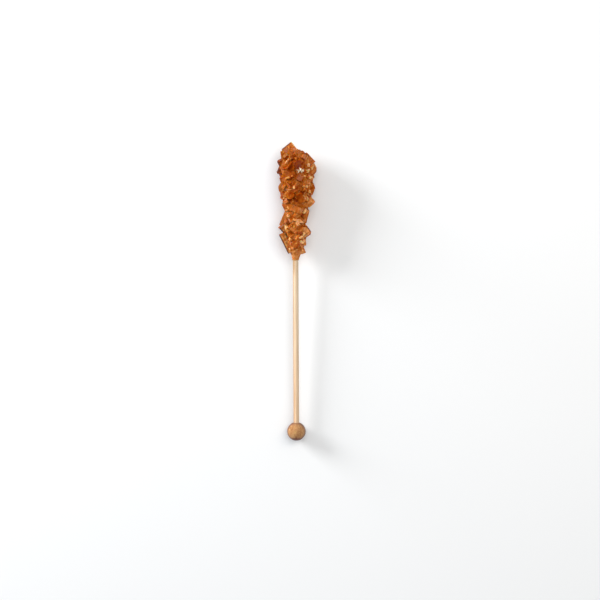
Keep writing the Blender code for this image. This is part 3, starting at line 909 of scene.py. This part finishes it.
def facets(wire, place, size):
    """Cells with straight edges: each one's random colour, and a height that tilts it like a facet."""
    sockets = {"Vector": place, "Scale": 1 / size}
    colour = wire.node("TexVoronoi", {"feature": "F1"}, sockets, "Color")
    middle = Wire(wire.tree, colour.socket.node.outputs["Position"])
    lean = wire.vector("SUBTRACT", colour, (0.5, 0.5, 0.5))
    height = wire.vector("DOT_PRODUCT", wire.vector("SUBTRACT", place, middle), lean, output="Value")
    return colour.part("X"), height


cells, cell_tilt = facets(wire, place, 1.0 * MM)
streak_sizes = (1 / (4.6 * MM), 1 / (1.4 * MM), 1 / (2.0 * MM))
slanted = wire.node("Mapping", {}, {"Vector": place, "Rotation": (0, 0, math.radians(-44))})
stretched = wire.vector("MULTIPLY", slanted, streak_sizes)
streaks = wire.node("TexNoise", {}, {"Vector": stretched, "Scale": 1.0, "Detail": 2.0})
stick_place = along_the_stick(wire)
down_the_candy = stick_place.part("Y").between(146.0, 92.0, -0.06, 0.14)
# Painted glow: the right side is paler, as light passing through the crystals from the left makes it.
painted_glow_right = stick_place.part("X").between(0.0, 9.0, 0.0, 0.14)
# Painted shade: the colour darkens with the depth below the reach, in the valleys between crystals.
shade = (
    marked(wire, "tone") + 0.06 + (cells - 0.5) * 0.06 + (streaks - 0.5) * 0.9 + down_the_candy
    + painted_glow_right - marked(wire, "depth").between(0.0, 2.6, 0.0, 0.13)
)
amber_colour = shade.ramp(
    (0.0, (0.175, 0.021, 0.001)),
    (0.20, (0.31, 0.051, 0.002)),
    (0.42, (0.42, 0.102, 0.007)),
    (0.62, (0.55, 0.172, 0.034)),
    (0.82, (0.76, 0.34, 0.11)),
    (1.0, (1.0, 0.54, 0.235)),
)
# Hue is partly random; on the named faces honey paints light seen through thin crystal, and rose a pinkish
# painted reflection.
hue = marked(wire, "hue")
honeyed = wire.mix(hue.between(-0.4, -1.2, 0.0, 0.8), amber_colour, (0.97, 1.0, 0.62, 1.0), "MULTIPLY")
rosy = wire.mix(hue.between(0.5, 1.3, 0.0, 0.45), honeyed, (0.60, 0.21, 0.13, 1.0))
# Painted shade: the left side of the candy is darkened.
shaded_left = stick_place.part("X").between(1.0, -8.0)
shaded_left_colour = wire.mix(shaded_left, rosy, (0.76, 0.79, 0.80, 1.0), "MULTIPLY")
# Painted shade: faces marked with tones well below 0 turn near-black brown, as dark outlines and pits.
rims = marked(wire, "tone").between(-0.12, -0.5, 0.0, 0.7)
join(wire.mix(rims, shaded_left_colour, (0.09, 0.034, 0.018, 1.0)), shader, "Base Color")
raise_relief(wire, shader, cell_tilt * 0.5, strength=0.15, depth=1.0)
join(cells.between(0.0, 1.0, 0.08, 0.30), shader, "Roughness")
facing = wire.node("LayerWeight", {}, {"Blend": 0.5}, "Facing")
join((1.0 - facing) * 0.32, shader, "Coat Weight")
crystals = new_piece("sugar_crystals", bm, amber)
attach(crystals, "root")
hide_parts("candy")


# ---------------------------------------------------------------------------------------------------
# The fine sugar
# Grains that grew last, in the valleys between the large crystals. Each is a tiny block of the same amber
# sugar, half sunk where it grew.

GRAINS = 100
GRAIN_SIZES = (0.35 * MM, 0.9 * MM)
GRAIN_SHARES = (0.5, 1.0)  # of those sizes
GRAIN_VALLEYS = 0.9  # in millimetres below the reach, above which no grain lies
GRAIN_HEIGHT = 1.2 * MM  # above the table, below which none lies
GRAIN_EDGE = 0.05 * MM
GRAIN_EASED = 0.3 * MM  # edges shorter than this are left sharp
GRAIN_STRETCH = ((0.5, 1.5), (0.6, 1.1), (0.6, 1.0))
GRAIN_RAISED = 0.08  # how far its middle is off the ground, as a share of its size
GRAIN_TONE = (0.02, 0.09)  # from the tone of the ground: the middle one, and the spread
GRAIN_FACE_TONES = (-0.08, 0.10)  # from the grain's own

draw = random.Random(9)
ground = crystals.data
ground.calc_loop_triangles()
depth_here = ground.attributes["depth"].data
patches = [
    patch for patch in ground.loop_triangles
    if min(depth_here[i].value for i in patch.vertices) > GRAIN_VALLEYS
]
areas = [patch.area for patch in patches]
tone_here = ground.attributes["tone"].data
bm = bmesh.new()
tones = bm.faces.layers.float.new("tone")
bm.faces.layers.float.new("hue")
bm.verts.layers.float.new("depth")
for patch in draw.choices(patches, weights=areas, k=GRAINS):
    corners = [ground.vertices[i].co for i in patch.vertices]
    a, b = sorted((draw.random(), draw.random()))
    spot = corners[0] * a + corners[1] * (b - a) + corners[2] * (1 - b)
    size = draw.uniform(*GRAIN_SIZES) * draw.uniform(*GRAIN_SHARES)
    if spot.z < GRAIN_HEIGHT:
        continue
    grain_block = bmesh.ops.create_cube(bm, size=size)["verts"]
    stretch = Vector([draw.uniform(*limits) for limits in GRAIN_STRETCH])
    bmesh.ops.scale(bm, vec=stretch, verts=grain_block)
    turn = Euler([draw.uniform(0, math.pi) for _ in range(3)]).to_matrix()
    bmesh.ops.rotate(bm, matrix=turn, verts=grain_block)
    bmesh.ops.translate(bm, vec=spot + patch.normal * size * GRAIN_RAISED, verts=grain_block)
    tone = tone_here[patch.polygon_index].value + draw.gauss(*GRAIN_TONE)
    for face in dict.fromkeys(face for vertex in grain_block for face in vertex.link_faces):
        face[tones] = tone + draw.uniform(*GRAIN_FACE_TONES)
ease(bm, [edge for edge in bm.edges if edge.calc_length() > GRAIN_EASED], GRAIN_EDGE)
grains = new_piece("sugar_grains", bm, amber)
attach(grains, "root")


# ---------------------------------------------------------------------------------------------------
# The milky crystal
# One small cluster of pale, cloudy blades of sugar that crossed as they grew, set in the deep brown faces
# of the side that shows. They are partly a painted highlight: their pale colour also stands for a bright
# glint on the faces there.

Blade = namedtuple("Blade", "below right long wide turn")
MILKY_BLADES = [
    Blade(15.5, 2.6, 4.0, 0.75, 6),
    Blade(15.3, 2.9, 2.9, 0.80, 58),
    Blade(15.7, 2.3, 2.8, 0.80, -52),
    Blade(15.5, 3.6, 1.6, 0.9, -20),
    Blade(15.6, 1.6, 1.5, 0.9, 28),
    Blade(15.0, 2.8, 1.2, 0.9, 84),
]
BLADE_ROCK = 0.25  # in radians
BLADE_PROUD = (-0.05, 0.15)
BLADE_TAPER = (0.35, 0.45)  # of one end, in width and in thickness
BLADE_EDGE = 0.06 * MM

draw = random.Random(4)
bm = bmesh.new()
for blade in MILKY_BLADES:
    outward, distance = top_of(blade.below * MM, blade.right * MM)
    rocks = [draw.uniform(-BLADE_ROCK, BLADE_ROCK) for _ in range(2)]
    turn = lie_outward(outward, blade.turn, *rocks)
    block = bmesh.ops.create_cube(bm, size=MM)["verts"]
    bmesh.ops.scale(bm, vec=Vector((blade.long, blade.wide, 1.0)), verts=block)
    far_end = [vertex for vertex in block if vertex.co.x > 0]
    bmesh.ops.scale(bm, vec=Vector((1.0, *BLADE_TAPER)), verts=far_end)
    bmesh.ops.rotate(bm, matrix=turn, verts=block)
    place = outward * (distance + draw.uniform(*BLADE_PROUD) * MM)
    bmesh.ops.translate(bm, vec=place + Vector((0, TIP - blade.below * MM, 0)), verts=block)
ease(bm, bm.edges[:], BLADE_EDGE)
bmesh.ops.recalc_face_normals(bm, faces=bm.faces)
bmesh.ops.transform(bm, matrix=AS_IT_LIES, verts=bm.verts)
# The pale colour is partly a painted highlight, a glint on the faces here.
milky, wire, shader = new_material(
    "milky_glint_sugar", Roughness=0.25, Subsurface_Weight=0.3, Subsurface_Radius=(1.0, 0.8, 0.5),
    Subsurface_Scale=0.4 * MM,
)
place = wire.node("TexCoord", {}, {}, "Object")
cloud = wire.node("TexNoise", {}, {"Vector": place, "Scale": 1 / (0.7 * MM), "Detail": 3.0})
join(
    cloud.ramp((0.35, (0.46, 0.34, 0.22)), (0.50, (0.72, 0.57, 0.40)), (0.65, (0.95, 0.84, 0.67))),
    shader, "Base Color",
)
join(cloud.between(0.3, 0.7, 0.2, 0.4), shader, "Roughness")
raise_relief(wire, shader, cloud, strength=0.4, depth=0.2 * MM)
milky_glint_crystal = new_piece("milky_glint_crystal", bm, milky)
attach(milky_glint_crystal, "root")
